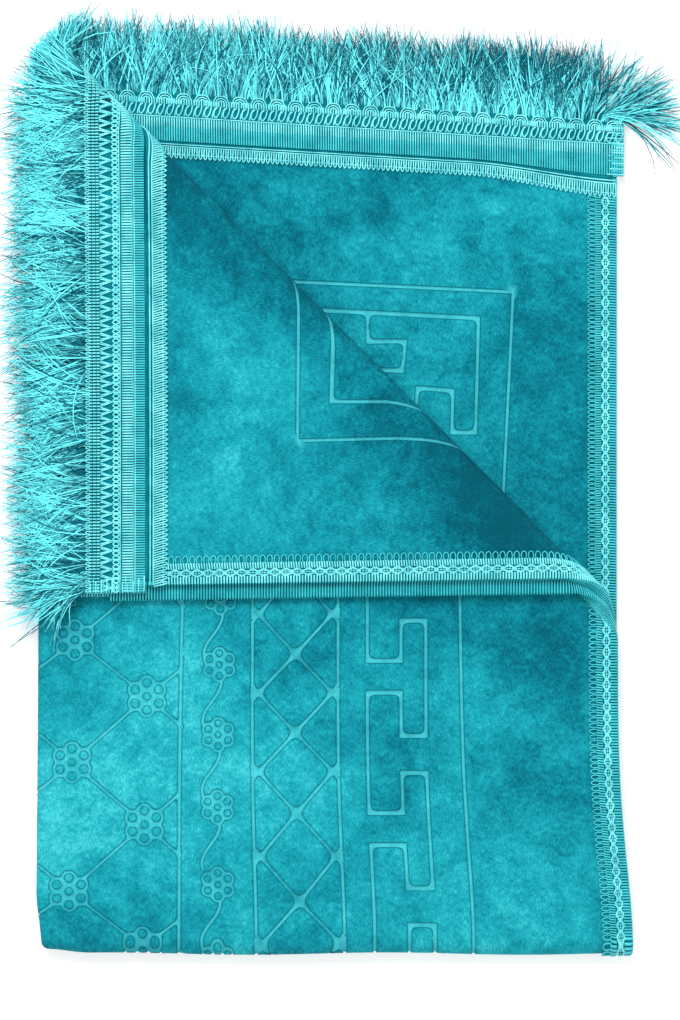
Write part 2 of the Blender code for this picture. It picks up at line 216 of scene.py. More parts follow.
def turned(x, y, z, side):
    """Turns the upper half's corner over the crease. Its inner layer, of side 1, bends round a shorter arc."""
    across, along = diagonal(x, y)
    radius, arc = crease_at(along)
    start = crease_start(radius)
    arc = arc - np.where(side > 0, INNER_LAG, 0)
    axis = 3 * LAYER + radius
    reach = axis - z
    angle = math.pi * (across - start) / arc
    bending = across < start + arc
    new_across = np.where(bending, start + reach * np.sin(angle), 2 * start + arc - across)
    new_z = np.where(bending, axis - reach * np.cos(angle), axis + reach)
    flat = across <= start
    across, z = np.where(flat, across, new_across), np.where(flat, z, new_z)
    return (across + along) / ROOT2 - START_X, (across - along) / ROOT2 - START_Y, z


def trim_rise(x, length):
    """How far the lower end's trims lie pushed outwards."""
    start, full, stop = RISE_DEPTHS
    depth = LOWER_LENGTH - length
    share = smooth(depth, start, full) * (1 - smooth(depth, full, stop))
    return share * (TRIM_RISE[0] + (TRIM_RISE[1] - TRIM_RISE[0]) * smooth(x, *RISE_SPAN))


def folded(u, v, h):
    """Where points of the flat rug lie before the stack settles: x and y from the folds, and an even z."""
    drift = FOLD_DRIFT * np.exp(-((v / DRIFT_REACH) ** 2))
    side = np.where(u > 0, 1.0, -1.0)
    bent = abs(u) < BEND_QUARTER
    angle = u / BEND_RADIUS
    open_x = abs(u) - BEND_QUARTER - side * drift * abs(u) / HALF_WIDTH
    x = np.where(bent, -(BEND_RADIUS + h) * np.cos(angle), open_x)
    z = np.where(bent, (BEND_RADIUS + h) * np.sin(angle), side * (BEND_RADIUS + h))

    bent = abs(v) < CROSS_QUARTER
    angle = v / CROSS_RADIUS
    half = np.where(v > 0, 1.0, -1.0)
    slope = np.where(v > 0, UPPER_SKEW / UPPER_LENGTH, LOWER_SKEW / LOWER_LENGTH)
    length = abs(v) + np.where(v > 0, 0, trim_rise(x, abs(v)))
    y = np.where(bent, -(CROSS_RADIUS + z) * np.cos(angle), length - CROSS_QUARTER + slope * x * length)
    z = np.where(bent, (CROSS_RADIUS + z) * np.sin(angle), half * (CROSS_RADIUS + z)) + 2 * LAYER
    over = ~bent & (v > 0)
    return tuple(np.where(over, new, old) for new, old in zip(turned(x, y, z, side), (x, y, z)))


def laid(x, y, z):
    """Settles the stack, rounds its corner and bows its folds, and moves it to the solids' frame."""
    height = settle(z, x, y)
    corner = (1 - smooth(x, -BEND_RADIUS, CORNER_SIZE)) * (1 - smooth(y, -CROSS_RADIUS, CORNER_SIZE))
    bow = FOLD_BOW * np.sin(math.pi * y / UPPER_LENGTH) * (1 - smooth(x, 0, HALF_WIDTH))
    foot = FOOT_WAVE * np.sin(x * FOOT_TURNS) * (1 - smooth(y, 0, FOOT_REACH))
    soft = corner * CORNER_ROUND
    return np.stack((x + START_X + soft + bow, y + START_Y + soft + foot, height), axis=-1) + SHIFT


def fold(points):
    """Lays an array of flat points (u, v, h)."""
    return laid(*folded(points[..., 0], points[..., 1], points[..., 2]))


# ---------------------------------------------------------------- meshes

TINY = 1e-12
YARN_SIDES = 4
# Where a yarn stands this close to upright, its sideways direction is set instead of worked out.
UPRIGHT = 0.05
BAND_STEP = 3.5 * MM
# The materials of a braid, as places in its list: the ground under the yarns, darkened in part as painted
# shade between them; the yarn; and a darker copy of the yarn, in part the satin's own mid tone and in part
# painted shade.
SHADED_GROUND, YARN, SHADED_SATIN = range(3)


class Soup:
    """Gathers laid points and faces of one piece."""

    def __init__(self):
        self.points, self.faces, self.kinds, self.count = [], [], [], 0

    def add(self, points, faces, kind=0):
        """points is (n, 3) and already laid; faces is (m, 3) or (m, 4)."""
        self.add_faces(faces + self.count, kind)
        self.points.append(points)
        self.count += len(points)

    def add_faces(self, faces, kind=0):
        self.faces.append(faces)
        self.kinds.append(np.full(len(faces), kind))

    def build(self, name, materials, slot, attributes=()):
        mesh = bpy.data.meshes.new(name)
        points = np.concatenate(self.points)
        sizes = np.concatenate([np.full(len(f), f.shape[1]) for f in self.faces])
        corners = np.concatenate([f.reshape(-1) for f in self.faces])
        mesh.vertices.add(len(points))
        mesh.vertices.foreach_set("co", points.reshape(-1))
        mesh.loops.add(len(corners))
        mesh.loops.foreach_set("vertex_index", corners.astype(np.int32))
        mesh.polygons.add(len(sizes))
        mesh.polygons.foreach_set("loop_start", (np.cumsum(sizes) - sizes).astype(np.int32))
        mesh.polygons.foreach_set("loop_total", sizes.astype(np.int32))
        mesh.polygons.foreach_set("material_index", np.concatenate(self.kinds).astype(np.int32))
        mesh.update(calc_edges=True)
        for key, kind, values in attributes:
            made = mesh.attributes.new(key, kind, "POINT")
            made.data.foreach_set("value" if kind == "FLOAT" else "vector", values.reshape(-1))
        for material in materials:
            mesh.materials.append(material)
        mesh.shade_smooth()
        piece = bpy.data.objects.new(name, mesh)
        bpy.context.collection.objects.link(piece)
        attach(piece, "root")
        return piece


def tubes(paths, radius, squash=1.0):
    """Yarns along paths (n, k, 3): their surface points and faces."""
    n, k = paths.shape[:2]
    tangent = np.gradient(paths, axis=1)
    tangent /= np.linalg.norm(tangent, axis=2, keepdims=True) + TINY
    lateral = np.cross(tangent, (0, 0, 1.0))
    size = np.linalg.norm(lateral, axis=2, keepdims=True)
    lateral = np.where(size > UPRIGHT, lateral / (size + TINY), (1.0, 0, 0))
    upward = np.cross(lateral, tangent) * squash
    angles = np.arange(YARN_SIDES) * (2 * math.pi / YARN_SIDES) + math.pi / 4
    spokes = np.cos(angles)[:, None] * lateral[:, :, None] + np.sin(angles)[:, None] * upward[:, :, None]
    radius = np.broadcast_to(np.asarray(radius), (n, k))[:, :, None, None]
    points = paths[:, :, None] + radius * spokes
    ranges = np.arange(n), np.arange(k - 1), np.arange(YARN_SIDES)
    tube, ring, spoke = np.meshgrid(*ranges, indexing="ij")
    here = (tube * k + ring) * YARN_SIDES
    there = here + YARN_SIDES
    after = (spoke + 1) % YARN_SIDES
    faces = np.stack((here + spoke, there + spoke, there + after, here + after), axis=-1)
    return points.reshape(-1, 3), faces.reshape(-1, 4)


def curve(controls, steps):
    """A smooth run through a short table of control points."""
    controls = np.array(controls, float)
    ends = np.concatenate((2 * controls[:1] - controls[1:2], controls, 2 * controls[-1:] - controls[-2:-1]))
    shares = np.linspace(0, len(controls) - 1, steps)
    index = np.minimum(shares.astype(int), len(controls) - 2)
    t = (shares - index)[:, None]
    a, b, c, d = (ends[index + i] for i in range(4))
    return 0.5 * (2 * b + (c - a) * t + (2 * a - 5 * b + 4 * c - d) * t**2 + (3 * b - a - 3 * c + d) * t**3)


def both_halves(path):
    """A path that ends at run 0, carried on by its mirror image."""
    return path + [(-run, depth, height) for run, depth, height in path[-2::-1]]


def starts(span, pitch):
    """Evenly spaced places about pitch mm apart, half a space in from the ends of the span."""
    low, high = span
    count = int((high - low) / (pitch * MM))
    return low + (np.arange(count) + 0.5) * (high - low) / count


class Trim(Soup):
    """A trim on one edge, placed by (run, depth, height): run goes along the edge and depth in from it."""

    def __init__(self, on_side, sign):
        super().__init__()
        self.on_side, self.sign = on_side, sign

    def flat(self, points):
        run, depth, height = points[..., 0], points[..., 1], points[..., 2]
        if self.on_side:
            return np.stack((self.sign * (HALF_WIDTH - depth), run, height), axis=-1)
        length = UPPER_LENGTH if self.sign > 0 else LOWER_LENGTH
        return np.stack((run, self.sign * (length - depth), height), axis=-1)

    def yarns(self, places, path, steps, radius, kind=YARN, squash=1.0):
        """Repeats one yarn at each place: a smooth path, cut into steps, of (run, depth, height) in mm."""
        path = curve(path, steps) * MM
        paths = np.broadcast_to(path, (len(places),) + path.shape).copy()
        paths[..., 0] += places[:, None]
        paths[..., 2] += TRIM_OUTER
        points, faces = tubes(self.flat(paths), radius * MM, squash)
        self.add(fold(points), faces, kind)

    def cord(self, span, pitch, shape, steps, radius):
        """One long yarn: shape gives its depth and height in mm from its turns, each pitch mm long."""
        low, high = span
        count = max(2, round((high - low) / (pitch * MM) * steps))
        depth, height = shape(np.arange(count) / steps)
        path = np.stack((np.linspace(low, high, count), depth * MM, TRIM_OUTER + height * MM), axis=-1)
        points, faces = tubes(self.flat(path[None]), radius * MM)
        self.add(fold(points), faces, YARN)

    def band(self, section, low, high):
        """The cloth under a trim: a closed section of (depth, h) in metres, run from low to high."""
        rounds = len(section)
        runs = np.linspace(low, high, max(2, round((high - low) / BAND_STEP) + 1))
        grid = np.empty((len(runs), rounds, 3))
        grid[..., 0] = runs[:, None]
        grid[..., 1:] = section
        depth, height = np.transpose(section)
        turns_left = np.sum(depth * np.roll(height, -1) - np.roll(depth, -1) * height) > 0
        i, j = np.meshgrid(np.arange(len(runs) - 1), np.arange(rounds), indexing="ij")
        a, b = i * rounds + j, i * rounds + (j + 1) % rounds
        faces = np.stack((a, b, b + rounds, a + rounds), axis=-1).reshape(-1, 4)
        mirrored = (self.sign < 0) == self.on_side
        inside_out = turns_left != mirrored
        first = self.count
        points = fold(self.flat(grid.reshape(-1, 3)))
        self.add(points, faces[:, ::-1] if inside_out else faces, SHADED_GROUND)
        caps = []
        for base, flip in ((0, True), ((len(runs) - 1) * rounds, False)):
            for corner in range(1, rounds - 1):
                face = [base, base + corner, base + corner + 1]
                caps.append(face[::-1] if flip != inside_out else face)
        self.add_faces(np.array(caps) + first, SHADED_GROUND)


# ---------------------------------------------------------------- materials


class Look:
    """A material, its Principled shader's inputs and the nodes that feed them."""

    def __init__(self, name, roughness, gloss=0.5):
        self.material = bpy.data.materials.new(name)
        self.material.use_nodes = True
        self.nodes, self.links = self.material.node_tree.nodes, self.material.node_tree.links
        self.shader = self.nodes["Principled BSDF"].inputs
        self.feed(self.shader, {"Roughness": roughness, "Specular IOR Level": gloss})

    def feed(self, sockets, values):
        """Gives each socket a plain value or another node's output."""
        for key, value in values.items():
            if isinstance(value, bpy.types.NodeSocket):
                self.links.new(value, sockets[key])
            else:
                sockets[key].default_value = value

    def node(self, kind, values, output=0, **settings):
        made = self.nodes.new("ShaderNode" + kind)
        for name, setting in settings.items():
            setattr(made, name, setting)
        self.feed(made.inputs, values)
        return made.outputs[output]

    def attribute(self, name, output="Fac"):
        return self.node("Attribute", {}, output, attribute_name=name)

    def noise(self, place, scale, detail, roughness, distortion=0.0):
        values = {"Vector": place, "Scale": scale, "Detail": detail, "Roughness": roughness}
        return self.node("TexNoise", values | {"Distortion": distortion})

    def math(self, operation, *values):
        return self.node("Math", dict(enumerate(values)), operation=operation)

    def mix(self, factor, first, second):
        return self.node("Mix", {"Factor": factor, 6: first, 7: second}, 2, data_type="RGBA")

    def ramp(self, factor, stops):
        made = self.nodes.new("ShaderNodeValToRGB")
        elements = made.color_ramp.elements
        while len(elements) < len(stops):
            elements.new(0.5)
        for element, (place, colour) in zip(elements, stops):
            element.position = place
            element.color = (*colour, 1)
        self.feed(made.inputs, {"Fac": factor})
        return made.outputs["Color"]

    def bump(self, height, strength, distance):
        normal = self.node("Bump", {"Height": height, "Strength": strength, "Distance": distance})
        self.feed(self.shader, {"Normal": normal})


VELVET_TONES = (
    (0.0, (0.0002, 0.072, 0.102)),
    (0.25, (0.0010, 0.128, 0.178)),
    (0.5, (0.0042, 0.228, 0.288)),
    (0.75, (0.0125, 0.342, 0.402)),
    (1.0, (0.055, 0.520, 0.575)),
)
# The pressed pile's lighter colour: partly its own tone, partly painted sheen.
VELVET_PRESSED_AND_SHEEN = (0.070, 0.540, 0.590, 1)
# The painted shade of the dark rim beside each groove.
VELVET_RIM_SHADE = (0.0, 0.070, 0.105, 1)
# The mean of the velvet's weighted noises is taken off, so that the brushed patches and the painted shade
# beside the crease set its tone.
PATCHES, CLOUDS, BLOTCHES, THREADS, GRAIN = 0.9, 0.85, 0.62, 0.78, 0.72
TONE = 0.5 - (PATCHES + CLOUDS + BLOTCHES + THREADS + GRAIN) / 2
THREAD_STRETCH = (1.7, 0.45, 1)
# How strongly a groove's painted-shade dark rim shows, and how light its floor is painted, as (a share of the
# clouds, the rest).
RIM_SHADE_DEPTH = 1.3
PRESSED_LIGHT = (0.9, 0.12)
YARN_STOPS = (0.2, 0.8)


def velvet_material():
    look = Look("velvet", 0.85, 0.04)
    look.feed(look.shader, {"Sheen Weight": 0.015, "Sheen Tint": (0.3, 0.9, 1.0, 1), "Sheen Roughness": 0.5})
    flat = look.attribute("flat", "Vector")
    patches = look.noise(flat, 14, 4, 0.6, 0.6)
    clouds = look.noise(flat, 70, 5, 0.7, 0.4)
    blotches = look.noise(flat, 330, 3, 0.65)
    threads = look.noise(look.node("Mapping", {"Vector": flat, "Scale": THREAD_STRETCH}), 1000, 2, 0.6)
    grain = look.noise(flat, 1700, 2, 0.7)
    # The brushed patches and the painted shade beside the crease.
    value = look.math("ADD", look.attribute("nap_and_shade"), TONE)
    parts = ((patches, PATCHES), (clouds, CLOUDS), (blotches, BLOTCHES), (threads, THREADS), (grain, GRAIN))
    for part, weight in parts:
        value = look.math("MULTIPLY_ADD", part, weight, value)
    # Painted shade: a dark rim beside each groove.
    rim_shade = look.math("MULTIPLY", look.attribute("rim_shade"), look.math("MULTIPLY", clouds, RIM_SHADE_DEPTH))
    colour = look.mix(rim_shade, look.ramp(value, VELVET_TONES), VELVET_RIM_SHADE)
    # The pressed floor is lighter, partly its own tone and partly painted sheen, with painted light by the
    # lines' direction.
    lift = look.math("MULTIPLY", look.attribute("pressed"), look.math("MULTIPLY_ADD", clouds, *PRESSED_LIGHT))
    look.feed(look.shader, {"Base Color": look.mix(lift, colour, VELVET_PRESSED_AND_SHEEN)})
    look.bump(look.math("ADD", grain, threads), 0.6, 0.4 * MM)
    return look.material


def yarn_look(name, roughness, gloss, filaments):
    """A yarn's look, with its fine filaments at that scale."""
    look = Look(name, roughness, gloss)
    place = look.node("TexCoord", {}, "Object")
    return look, place, look.noise(place, filaments, 2, 0.6)


def colour_yarn(look, value, dark, bright):
    stops = tuple(zip(YARN_STOPS, (dark, bright)))
    look.feed(look.shader, {"Base Color": look.ramp(value, stops)})


def braid_material(name, dark, bright, roughness, gloss):
    """Satin rayon yarn whose colour drifts from place to place, between its own darker tone and a whitish
    painted highlight.
    """
    look, place, filaments = yarn_look(name, roughness, gloss, 1400)
    value = look.math("MULTIPLY_ADD", look.noise(place, 90, 3, 0.6), 0.8, -0.15)
    colour_yarn(look, look.math("MULTIPLY_ADD", filaments, 0.5, value), dark, bright)
    look.bump(filaments, 0.3, 0.2 * MM)
    return look.material


def strand_material(dark, bright):
    """Fringe yarn painted lighter and darker from strand to strand and along each: painted highlights and
    shade.
    """
    look, _, filaments = yarn_look("fringe_yarn", 0.35, 0.05, 700)
    value = look.math("MULTIPLY_ADD", filaments, 0.3, look.math("ADD", look.attribute("shade"), -0.15))
    colour_yarn(look, value, dark, bright)
    look.bump(filaments, 0.2, 0.2 * MM)
    return look.material


VELVET = velvet_material()
STRAND = strand_material((0.0, 0.110, 0.155), (0.170, 0.930, 0.990))
BRAID = [
    # The ground under the yarns, dark in part as painted shade in the gaps between them.
    braid_material("braid_ground_shaded", (0.0, 0.072, 0.102), (0.002, 0.245, 0.295), 0.7, 0.05),
    braid_material("braid_yarn", (0.010, 0.400, 0.465), (0.270, 0.960, 0.985), 0.3, 0.3),
    # A darker copy of the yarn: in part the satin's own mid tone, in part painted shade.
    braid_material("braid_satin_shaded", (0.003, 0.300, 0.360), (0.065, 0.670, 0.720), 0.3, 0.3),
]


# ---------------------------------------------------------------- the embossed pattern

# All in mm on the flat rug. The long lines lie at these distances from the lengthwise fold.
LINE_VINE, LINE_DIAMOND = 129.5, 181.3
PATTERN_TOP, PATTERN_FOOT = 240, -411
# Half widths of the lines and rings, widths of the wall and of the painted-shade dark rim beside them, and the
# grooves' depth.
THIN, BROAD = 0.62, 0.95
KEY_THIN, NET_THIN, STEM_THIN = THIN + 0.08, THIN - 0.1, THIN - 0.05
RING_HALF = 0.52
WALL = 0.42
RIM = 0.8
GROOVE = 0.75
# Where lines of one group meet, the corner between them fills out over about this reach.
WEBS = {"net": 0.75, "vine": 0.5, "diamond": 2.0, "side": 0.9, "key": 1.4}
WEB_REACH = 9

KEY_LEVELS = (199, 219.4, 234.4)
KEY_PERIOD = 91
KEY_REPEATS = 6
# One repeat of the key as (level, place along it below the first one's start).
KEY_STEPS = ((0, 0), (1, 0), (1, -24), (2, -24), (2, 45), (1, 45), (1, 19), (0, 19))
KEY_START = 265.6
DIAMOND_SIDES = (133, 178)
DIAMOND_ROWS = (227, 203, 179, 155.8, 132, 108.7, 83.7, 58, 31.2, 6.8, -18, -42)
DIAMOND_TIE = 4
# The net's flowers stand by turns in two columns, which lean a little outwards along the rug.
NET_COLUMNS = (62.8, 18.8)
NET_SLANT = 0.02
NET_ROWS = (225, 188.3, 154.2, 114.9, 77.3, 37.1, 3.3, -34, -70)
NET_START = 11.6
NET_END = 84
NET_RING, NET_SPREAD = 3.95, 7.9
FIELD_LINE = ((87.6, PATTERN_TOP), (86.6, 180), (NET_END, 0), (NET_END, PATTERN_FOOT))
VINE_PLACE, VINE_SLANT = 106.8, 0.0155
VINE_ROWS = (255, 213, 173, 131, 87.4, 41.5, -1, -43)
VINE_RING, VINE_SPREAD = 3.3, 6.6
VINE_STEM = ((1.2, -9.8), (0.9, -13), (-1.2, -17.8), (-5.4, -23.6), (-8.6, -28.4), (-9.9, -33), (-9.3, -37))
VINE_STEPS = 15
# The border, and the key's corners, which show at the turned corner and beside it.
BORDER_LINES = (
    ((254.5, PATTERN_TOP), (257, 85), (257, PATTERN_FOOT), (0, PATTERN_FOOT)),
    ((-120, -411.5), (-287.6, -412), (-282.2, -297.5), (-280, -250)),
    ((-120, 409.5), (-263.5, 411.3), (-263, 352.7), (-265, 322.9), (-266, 280)),
)
CORNER_KEYS = (
    (
        (-150, -395.2), (-266.6, -394.8), (-264.8, -323.4), (-250.4, -322.9),
        (-251, -348.9), (-229.4, -349.8), (-227, -280),
    ),
    ((-199.4, -395.2), (-199.4, -377), (-222.2, -378.4), (-220.4, -359.9), (-150, -359.7)),
    ((-130, 389), (-184.7, 389.4), (-240.1, 391.3), (-240.6, 359.1), (-242.2, 339.8), (-242, 320)),
)
# Painted light and shade: light is painted as falling in along the lines that rise to the right, which leaves
# the others, and the rings, darker.
FALLING_SHADE, RING_LIGHT = 0.6, 0.62
LIGHT_REACH, LIGHT_BLEND = 4, 0.6

# How the pattern is followed: steps along a straight wall, and a fine patch at each knot. A place found on a
# wall's edge may miss it by the slack.
RAIL_STEP, RAIL_SLACK = 5, 0.05
MITRE_LIMIT = 0.35
KNOT_STEP, KNOT_REACH, KNOT_SLACK = 0.85, 6.8, 0.04
PROBE, LEAST_SLOPE, LONGEST_MOVE = 0.02, 0.2, 0.5
FAR = 1e3
NEVER_ZERO = 1e-9


def key_run():
    return [
        (KEY_LEVELS[level], KEY_START - along - repeat * KEY_PERIOD)
        for repeat in range(KEY_REPEATS)
        for level, along in KEY_STEPS
    ]


def flower(centre, spread):
    """The middles of seven rings that touch."""
    turns = [math.radians(30 + 60 * i) for i in range(6)]
    return [centre] + [(centre[0] + spread * math.cos(a), centre[1] + spread * math.sin(a)) for a in turns]


def key_lines():
    lines = []
    for points in (key_run(),) + CORNER_KEYS:
        for a, b in zip(points, points[1:]):
            across = abs(a[0] - b[0]) > abs(a[1] - b[1])
            lines.append((("key",), (a, b), BROAD if across else KEY_THIN))
    return lines


def diamond_lines():
    lines = []
    centre = sum(DIAMOND_SIDES) / 2
    for index, (high, low) in enumerate(zip(DIAMOND_ROWS, DIAMOND_ROWS[1:])):
        at_side, at_centre = (low, high) if index % 2 == 0 else (high, low)
        for side, line in zip(DIAMOND_SIDES, (LINE_VINE, LINE_DIAMOND)):
            lines.append((("diamond", "side"), ((side, at_side), (centre, at_centre)), THIN))
            away = DIAMOND_TIE if at_side == high else -DIAMOND_TIE
            lines.append((("side",), ((side, at_side), (line, at_side + away)), THIN))
    return lines


def net():
    """The net's lines, from each flower half way to the next or out to the field's edge, and its rings."""
    lines, rings = [], []
    flowers = [(NET_COLUMNS[row % 2] + NET_SLANT * v, v) for row, v in enumerate(NET_ROWS)]
    for row, (u, v) in enumerate(flowers):
        rings += [("net", middle, NET_RING) for middle in flower((u, v), NET_SPREAD)]
        for other, above in flowers[max(0, row - 1) : row] + flowers[row + 1 : row + 2]:
            length = math.hypot(other - u, above - v)
            for way in (-1, 1):
                step = (way * abs(other - u) / length, (above - v) / length)
                outward = way > 0 and u > other
                reach = (NET_END + NET_SLANT * v - u) / step[0] if outward else length / 2
                ends = [(u + step[0] * r, v + step[1] * r) for r in (NET_START, reach)]
                lines.append((("net",), ends, NET_THIN))
    return lines, rings


def vine():
    lines, rings = [], []
    for above in VINE_ROWS:
        middle = VINE_PLACE + VINE_SLANT * above
        rings += [("vine", ring, VINE_RING) for ring in flower((middle, above), VINE_SPREAD)]
        stem = curve([(middle + u, above + v) for u, v in VINE_STEM], VINE_STEPS)
        lines.append(((), stem, STEM_THIN))
    return lines, rings


def pattern():
    """The pressed lines as (groups, points, half width), and the pressed rings as (group, middle, radius)."""
    lines = [(("net",), FIELD_LINE, THIN)]
    for place in (LINE_VINE, LINE_DIAMOND):
        lines.append((("side",), ((place, PATTERN_TOP), (place, PATTERN_FOOT)), THIN))
    lines += [((), points, THIN) for points in BORDER_LINES]
    net_lines, net_rings = net()
    vine_lines, vine_rings = vine()
    return lines + key_lines() + diamond_lines() + net_lines + vine_lines, net_rings + vine_rings


def spaced(points, step):
    """The line's points with no stretch longer than step."""
    points = np.array(points, float)
    out = [points[:1]]
    for a, b in zip(points, points[1:]):
        count = max(1, math.ceil(np.linalg.norm(b - a) / step))
        out.append(a + (b - a) * (np.arange(1, count + 1) / count)[:, None])
    return np.concatenate(out)


def rail(points, offset):
    """The line moved sideways, mitred at its corners."""
    steps = np.diff(points, axis=0)
    steps /= np.linalg.norm(steps, axis=1, keepdims=True)
    normals = np.stack((-steps[:, 1], steps[:, 0]), axis=-1)
    before, after = np.concatenate((normals[:1], normals)), np.concatenate((normals, normals[-1:]))
    share = np.maximum(MITRE_LIMIT, 1 + np.sum(before * after, axis=1, keepdims=True))
    return points + offset * (before + after) / share


class Emboss:
    """Where flat places lie in the pattern of lines and rings, in mm."""

    def __init__(self):
        self.lines, self.rings = pattern()

    def gaps(self, points, reach):
        """For each stretch of line and ring: the places near it, their gaps, where it webs, groups, light."""
        for groups, line, half in self.lines:
            line = np.array(line, float)
            for a, b in zip(line, line[1:]):
                low, high = np.minimum(a, b) - reach, np.maximum(a, b) + reach
                near = np.nonzero(np.all((points > low) & (points < high), axis=1))[0]
                along = b - a
                share = ((points[near] - a) @ along) / (along @ along)
                gap = points[near] - a - np.clip(share, 0, 1)[:, None] * along
                falling = max(0, -2 * along[0] * along[1] / (along @ along))
                beside = (share >= 0) & (share <= 1)
                yield near, np.linalg.norm(gap, axis=1) - half, beside, groups, 1 - FALLING_SHADE * falling
        for group, middle, radius in self.rings:
            near = np.nonzero(np.all(abs(points - middle) < radius + reach, axis=1))[0]
            gap = abs(np.linalg.norm(points[near] - middle, axis=1) - radius) - RING_HALF
            yield near, gap, np.full(len(near), True), (group,), RING_LIGHT

    def distance(self, points):
        """How far each place lies from the grooves: 0 or less is in a groove's floor."""
        best = np.full(len(points), FAR)
        totals = {group: np.zeros(len(points)) for group in WEBS}
        for near, gap, beside, groups, _ in self.gaps(points, WEB_REACH):
            best[near] = np.minimum(best[near], gap)
            for group in groups:
                totals[group][near[beside]] += np.exp(-gap[beside] / WEBS[group])
        for group, total in totals.items():
            webbed = np.where(total > 0, -WEBS[group] * np.log(np.maximum(total, NEVER_ZERO)), FAR)
            best = np.minimum(best, webbed)
        return best

    def light(self, points):
        """How much painted light the pressed pile gets at each place, from 0 to 1."""
        share, total = np.full(len(points), NEVER_ZERO), np.full(len(points), NEVER_ZERO)
        for near, gap, _, _, light in self.gaps(points, LIGHT_REACH):
            weight = np.exp(-gap / LIGHT_BLEND)
            share[near] += weight * light
            total[near] += weight
        return share / total

    def rails(self):
        """Chains of places along both walls of each straight line, where no web takes them over."""
        chains = []
        for _, line, half in self.lines:
            line = spaced(line, RAIL_STEP)
            for offset in (0, WALL, WALL + RIM):
                for side in (-1, 1):
                    moved = rail(line, side * (half + offset))
                    good = abs(self.distance(moved) - offset) < RAIL_SLACK
                    for run in np.split(np.arange(len(moved)), np.nonzero(~good)[0]):
                        run = run[good[run]]
                        if len(run) > 1:
                            chains.append(moved[run])
        return chains

    def knots(self):
        """Fine patches of places round the rings and the lines' ends."""
        patch = np.arange(-KNOT_REACH, KNOT_REACH + 0.1, KNOT_STEP)
        local = np.stack(np.meshgrid(patch, patch), axis=-1).reshape(-1, 2)
        ends = np.array([end for _, line, _ in self.lines for end in (line[0], line[-1])])
        middles = np.array([middle for _, middle, _ in self.rings])
        spots = np.unique(np.round(np.concatenate((ends, middles))), axis=0)
        places = (spots[:, None] + local).reshape(-1, 2)
        return np.unique(np.round(places / KNOT_STEP), axis=0) * KNOT_STEP

    def contours(self):
        """Places on the walls' edges round the rings, the knots and the corners."""
        seeds = self.knots()
        gap = self.distance(seeds)
        found = []
        for target in (0, WALL, WALL + RIM):
            points = seeds[abs(gap - target) < KNOT_STEP * 0.75]
            for _ in range(3):
                here = self.distance(points)
                slope = [(self.distance(points + step) - here) / PROBE for step in ((PROBE, 0), (0, PROBE))]
                slope = np.stack(slope, axis=-1)
                size = np.maximum(np.sum(slope**2, axis=1, keepdims=True), LEAST_SLOPE)
                move = (here - target)[:, None] * slope / size
                points = points - np.clip(move, -LONGEST_MOVE, LONGEST_MOVE)
            points = points[abs(self.distance(points) - target) < KNOT_SLACK]
            first = np.unique(np.round(points / (KNOT_STEP * 0.6)), axis=0, return_index=True)[1]
            found.append(points[first])
        return np.concatenate(found)


# ---------------------------------------------------------------- the velvet

# The pile brushed lighter or darker in soft patches, some of them painted shade near the turned corner's
# crease: (u, v, reach, amount), in mm on the flat rug.
NAP_AND_SHADE_PATCHES = (
    (48, 108, 66, 0.32), (82, 186, 34, 0.22), (18, 152, 20, -0.12), (6, 60, 30, 0.26), (112, 95, 45, 0.14),
    (155, 80, 45, 0.10), (220, 110, 45, 0.03), (230, 195, 45, -0.12), (110, 205, 32, -0.18),
    (30, 60, 30, -0.06), (300, 112, 32, -0.10), (285, 20, 40, 0.18), (285, 145, 25, 0.10),
    (325, 190, 35, -0.28), (210, 20, 50, 0.08), (20, 212, 28, -0.15), (-300, 445, 60, 0.06),
    (-235, 425, 45, 0.10), (-145, 478, 42, -0.08),
    (-320, 300, 55, -0.24), (-250, 475, 30, -0.04), (-225, 385, 30, 0.10), (-120, -466, 60, -0.26),
    (-240, -455, 70, -0.02), (-320, -400, 40, -0.08), (-325, -290, 60, -0.14), (-285, -350, 45, -0.03),
)
# Painted shade: at the end of the turned corner's bend the pile is painted darker, and the shade fades out
# past it.
CREASE_SHADE, SHADE_REACH, SHADE_START = -0.30, 26, -20

# How far apart the cloth's places lie, in mm, and how finely the two folds' bends are divided.
FRONT_STEP, BACK_STEP, CREASE_STEP = 6.5, 9.0, 3.0
CREASE_MARGIN = 4
BEND_PARTS, CROSS_PARTS = 4, 6
CLEAR_OF_WALLS = 0.5
CLOSE = 1e-4
MERGE = 1e-5
# Triangles thinner than this, in mm, are left out: the fold could turn them over.
SLIVER = 0.012


def ticks(low, high, step, bend, bend_step):
    """Places from low to high at about a step apart, closer within a bend round 0."""
    inner = np.arange(-bend, bend + 0.01, bend_step)
    lower = np.linspace(low, -bend, max(2, round((-bend - low) / step)) + 1)[:-1]
    upper = np.linspace(bend, high, max(2, round((high - bend) / step)) + 1)[1:]
    return np.concatenate((lower, inner, upper))


def crease_depth(points):
    """How far each flat place, in mm, lies past the start and past the end of the turned corner's bend."""
    u, v = points[:, 0] * MM, points[:, 1] * MM
    x = abs(u) - BEND_QUARTER
    y = v - CROSS_QUARTER + UPPER_SKEW * x * v / UPPER_LENGTH
    across, along = diagonal(x, y)
    radius, arc_length = crease_at(along)
    past = across - crease_start(radius)
    return np.where(v > 0, past, -1) / MM, np.where(v > 0, past - arc_length, -1) / MM


def in_crease(points):
    past, beyond = crease_depth(points)
    return (past > -CREASE_MARGIN) & (beyond < CREASE_MARGIN)


